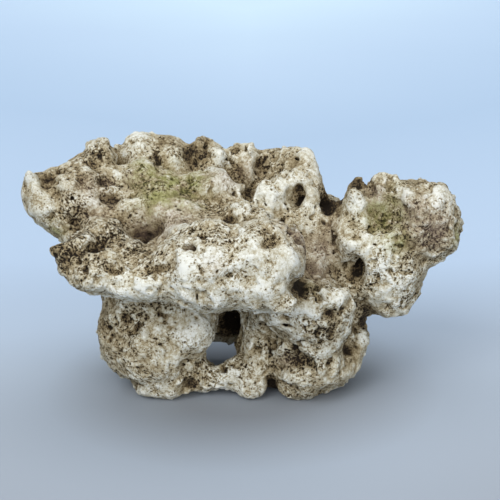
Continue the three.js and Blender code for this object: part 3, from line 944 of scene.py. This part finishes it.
def limestone():
    """Chalk-white coral stone, tan and brown in its pores, with algae and mauve stains, painted shade in
    its hollows and painted light on its crests.
    """
    n = Nodes("coral_limestone")
    place = n.add("ShaderNodeTexCoord").outputs["Object"]
    coarse = n.noise(place, 22.0, 3.0)
    medium = n.noise(place, 7.0, 3.0, 0.6)
    fine = n.noise(place, 1.9, 3.0, 0.65)
    grain = n.noise(place, 0.9, 2.0, 0.6)

    # dirt and painted shade: 0 on clean crust, 1 deep in the pores
    # relief: hollows and creases darker and crests lighter, partly the dirt of hollows and partly painted
    # shade
    relief = n.math("ADD", n.math("MULTIPLY", n.attribute("fine_relief"), 0.26),
                    n.math("MULTIPLY", n.attribute("broad_relief"), 0.02))
    relief = n.span(relief, -0.5, 0.23, -0.5, 0.23)
    dirt_and_shade = n.math("SUBTRACT", 0.42, relief)
    # the earth tint and painted shade darken, the chalk tint and painted light brighten
    dirt_and_shade = n.math("ADD", dirt_and_shade, n.math("MULTIPLY", n.attribute("earth_and_shade"), 0.24))
    dirt_and_shade = n.math("SUBTRACT", dirt_and_shade, n.math("MULTIPLY", n.attribute("chalk_and_light"), 0.21))
    for noise, reach in ((coarse, 0.10), (medium, 0.10), (fine, 0.17), (grain, 0.08)):
        dirt_and_shade = n.math("ADD", dirt_and_shade, n.span(noise, 0.3, 0.7, -reach, reach))

    # pores too small for the mesh, thick in some places and rare in others
    crowd = n.math("ADD", n.span(n.noise(place, 15.0, 3.0), 0.35, 0.65, 0.0, 0.8),
                   n.math("MULTIPLY", n.attribute("pitted"), 0.7))
    crowd = n.math("SUBTRACT", crowd, n.math("MULTIPLY", n.attribute("chalk_and_light"), 0.15))
    pore_size = n.span(crowd, 0.0, 1.4, 0.14, 0.47)
    pore = n.math("SUBTRACT", pore_size, n.cells(n.wobbled(place, 2.6, 3.2), 2.8))
    pore = n.span(pore, -0.08, 0.16)
    dirt_and_shade = n.math("ADD", dirt_and_shade, n.math("MULTIPLY", pore, 0.55))

    # thin winding burrows
    winding = n.math("ABSOLUTE", n.math("SUBTRACT", n.noise(place, 4.0, 2.0, 0.6), 0.5))
    burrow = n.span(winding, 0.015, 0.045, 1.0, 0.0)
    burrow = n.math("MULTIPLY", burrow, n.span(crowd, 0.0, 1.3, 0.04, 0.60))
    dirt_and_shade = n.math("ADD", dirt_and_shade, burrow, clamp=True)

    stone = n.ramp(dirt_and_shade, [
        (0.00, linear(229, 231, 225)),
        (0.22, linear(206, 204, 189)),
        (0.42, linear(175, 165, 139)),
        (0.62, linear(137, 123, 94)),
        (0.82, linear(90, 76, 54)),
        (1.00, linear(34, 27, 19)),
    ])
    algae = n.math("MULTIPLY", n.attribute("algae"), n.span(medium, 0.34, 0.60), clamp=True)
    stone = n.mix(n.math("MULTIPLY", algae, 0.80), stone, n.mix(
        dirt_and_shade, linear(170, 172, 98), linear(60, 62, 24)))
    mauve = n.math("MULTIPLY", n.attribute("mauve"), n.span(fine, 0.25, 0.6), clamp=True)
    stone = n.mix(n.math("MULTIPLY", mauve, 0.6), stone, n.mix(
        dirt_and_shade, linear(186, 170, 160), linear(104, 86, 78)))
    n.feed(n.shader.inputs["Base Color"], stone)

    n.feed(n.shader.inputs["Roughness"], n.span(dirt_and_shade, 0.0, 1.0, 0.82, 0.96))
    n.shader.inputs["Specular IOR Level"].default_value = 0.25
    sunk = n.math("ADD", n.math("MULTIPLY", pore, 0.9), burrow)
    height = n.math("SUBTRACT", n.math("MULTIPLY", fine, 0.8), sunk)
    height = n.math("ADD", height, n.math("MULTIPLY", grain, 0.35))
    bump = n.add("ShaderNodeBump")
    bump.inputs["Strength"].default_value = 0.8
    bump.inputs["Distance"].default_value = 0.9 * MM
    n.feed(bump.inputs["Height"], height)
    n.feed(n.shader.inputs["Normal"], bump.outputs["Normal"])
    return n.material


# --- studio -----------------------------------------------------------
FLOOR_SIDE = 14.0


def studio_paper():
    """Pale paper, grey in front and pale blue further back, darker to the sides, with a painted shadow
    under the stone.
    """
    n = Nodes("studio_paper")
    place = n.add("ShaderNodeTexCoord").outputs["Object"]
    parts = n.add("ShaderNodeSeparateXYZ")
    n.feed(parts.inputs[0], place)
    drift = n.span(n.noise(place, 900.0, 2.0), 0.3, 0.7, -0.03, 0.03)
    # painted shade: towards the sides the paper takes the darker colours of the nearer paper
    aside = n.span(n.math("ABSOLUTE", parts.outputs["X"]), 0.0, 0.8, 0.0, 0.42)
    depth = n.math("ADD", n.span(parts.outputs["Y"], -0.3, 2.7), drift)
    depth = n.math("SUBTRACT", depth, n.math("MULTIPLY", depth, aside))
    paper = n.ramp(depth, [
        (0.04, linear(164, 173, 185)),
        (0.10, linear(174, 188, 205)),
        (0.17, linear(187, 208, 233)),
        (0.38, linear(177, 201, 228)),
        (0.60, linear(190, 213, 238)),
        (0.90, linear(206, 230, 249)),
    ])
    # painted shadow: the paper darkens to a soft grey within 0.15 m of the stone
    near = n.add("ShaderNodeVectorMath", operation="LENGTH")
    n.feed(near.inputs[0], place)
    shade = n.span(near.outputs["Value"], 0.06, 0.15, 1.0, 0.0)
    paper = n.mix(shade, paper, linear(228, 222, 218), "MULTIPLY")
    n.feed(n.shader.inputs["Base Color"], paper)
    n.feed(n.shader.inputs["Roughness"], n.span(n.noise(place, 90.0), 0.3, 0.7, 0.85, 0.95))
    n.shader.inputs["Specular IOR Level"].default_value = 0.0
    return n.material


def add_studio():
    reach = FLOOR_SIDE / 2
    corners = [(-reach, -reach, 0), (reach, -reach, 0), (reach, reach, 0), (-reach, reach, 0)]
    mesh = bpy.data.meshes.new("studio_floor")
    mesh.from_pydata(corners, [], [(0, 1, 2, 3)])
    mesh.materials.append(studio_paper())
    add_object("studio_floor", mesh)


def add_light(name, source, spread, strength, colour):
    """Even light from one direction, as soft as a source that spreads over some degrees."""
    light = bpy.data.lights.new(name, "SUN")
    light.angle = math.radians(spread)
    light.energy = strength
    light.color = colour
    holder = add_object(name, light)
    holder.location = source
    holder.rotation_euler = (-Vector(source)).to_track_quat("-Z", "Y").to_euler()


def add_lights():
    add_light("key", (-0.6, -1.0, 0.85), 40, 1.7, (1.0, 0.985, 0.955))
    add_light("fill", (0.55, -1.5, 0.33), 60, 1.75, (1.0, 0.98, 0.95))
    add_light("top", (0.0, 0.2, 1.7), 70, 1.55, (0.98, 0.99, 1.0))
    add_light("back", (0.4, 1.4, 0.9), 80, 0.4, (0.97, 0.98, 1.0))
    world = bpy.data.worlds.new("studio")
    world.use_nodes = True
    sky = world.node_tree.nodes["Background"]
    sky.inputs["Color"].default_value = (0.86, 0.93, 1.0, 1.0)
    sky.inputs["Strength"].default_value = 0.12
    bpy.context.scene.world = world


def add_camera():
    lens = bpy.data.cameras.new("camera")
    lens.sensor_width = SENSOR
    lens.lens = LENS
    camera = add_object("camera", lens)
    camera.location = EYE * MM
    camera.rotation_euler = FORWARD.to_track_quat("-Z", "Y").to_euler()
    bpy.context.scene.camera = camera


def main():
    corners, triangles = mesh_arrays(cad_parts["reef_rock"].data)
    stone = sculpted(corners, triangles)
    rock = stone_object(stone)
    paint_stone(rock, stone)
    rock.data.materials.append(limestone())
    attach(rock, "root")
    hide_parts("reef_rock")
    add_studio()
    add_lights()
    add_camera()
    bpy.context.scene.view_settings.view_transform = "Standard"


main()
